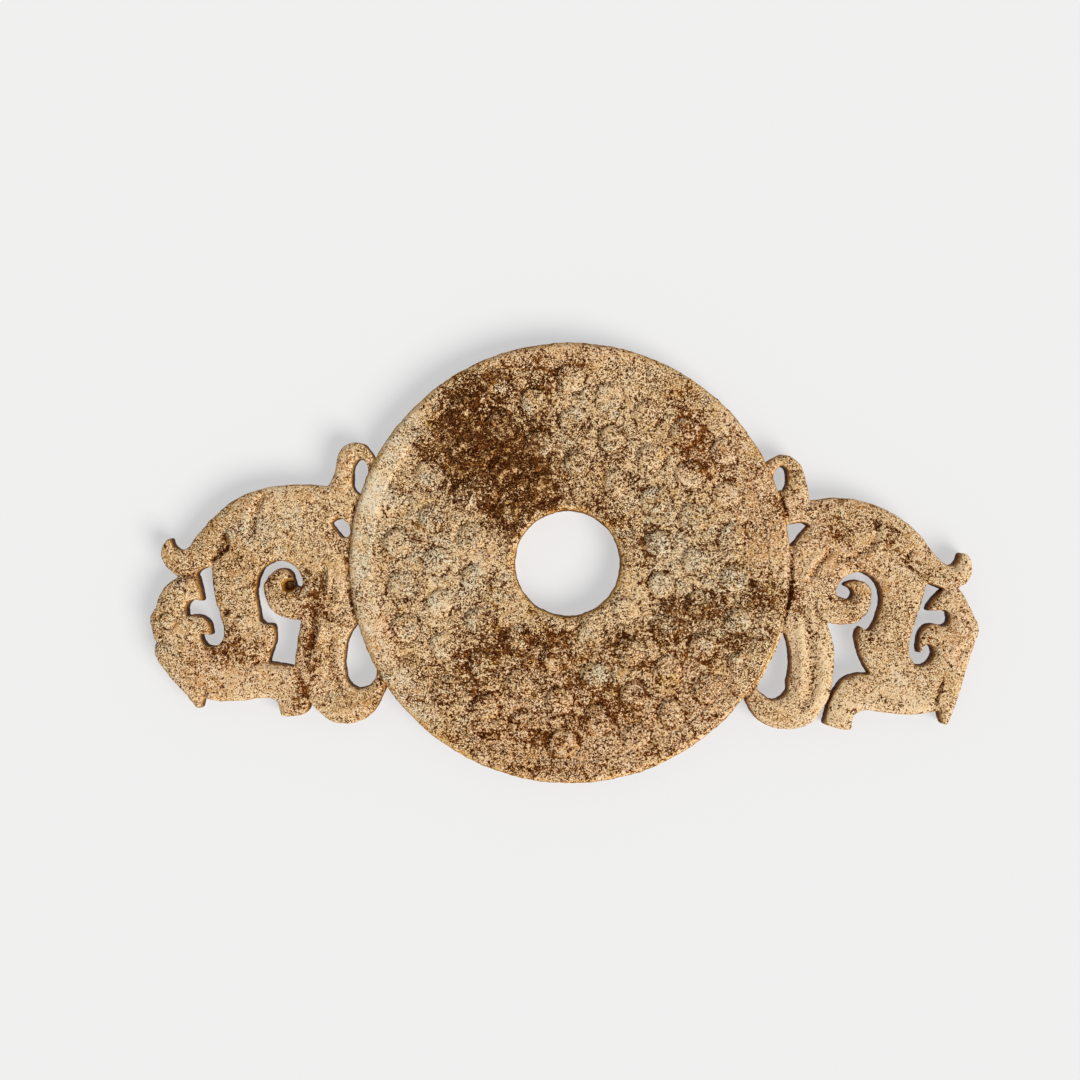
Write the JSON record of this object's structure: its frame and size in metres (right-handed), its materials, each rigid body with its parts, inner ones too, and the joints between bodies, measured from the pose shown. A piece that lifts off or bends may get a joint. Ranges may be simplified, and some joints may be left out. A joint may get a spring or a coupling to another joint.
{
  "type": "jade plaque",
  "caption": "Flat jade plaque: a round pierced disc with a raised grain pattern, between two openwork dragons cut from the same slab.",
  "frame": {"origin": "middle of the bounding box, on the surface that the plaque lies on", "axes": "+X along the length from the left dragon to the right one, +Y towards the crests of the dragons, +Z out of the carved face"},
  "size_m": [0.1096, 0.0582, 0.0048],
  "materials": {
    "altered_jade": "worn polish, opaque and tan from burial, speckled and stained brown"
  },
  "bodies": {
    "root": {"jade_plaque": "altered_jade"}
  },
  "joints": []
}
